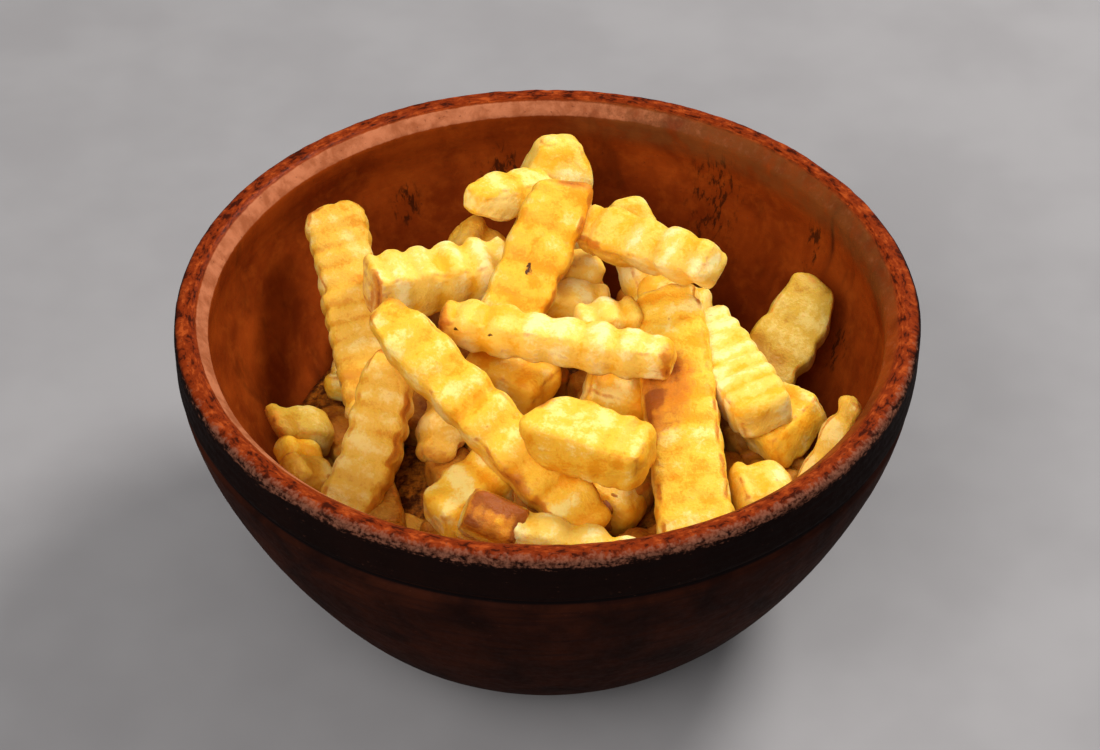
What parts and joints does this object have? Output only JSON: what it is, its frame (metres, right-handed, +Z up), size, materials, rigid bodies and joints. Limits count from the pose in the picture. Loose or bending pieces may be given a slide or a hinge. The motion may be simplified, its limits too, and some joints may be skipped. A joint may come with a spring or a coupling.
{
  "type": "french fries portion in a bowl",
  "caption": "Heap of crinkle-cut french fries filling a round glazed terracotta bowl with a thick rounded rim and a flat base.",
  "frame": {"origin": "middle of the bowl's flat base, on the surface it stands on", "axes": "+Z up along the bowl's axis; +Y away from the side the heap was seen from, +X to its right"},
  "size_m": [0.16, 0.16, 0.0882],
  "materials": {
    "glazed_terracotta": "mottled brown-red glaze, worn along the rim",
    "fried_potato": "fried potato, slightly oily"
  },
  "bodies": {
    "root": {"bowl": "glazed_terracotta", "fries": "fried_potato"}
  },
  "joints": []
}
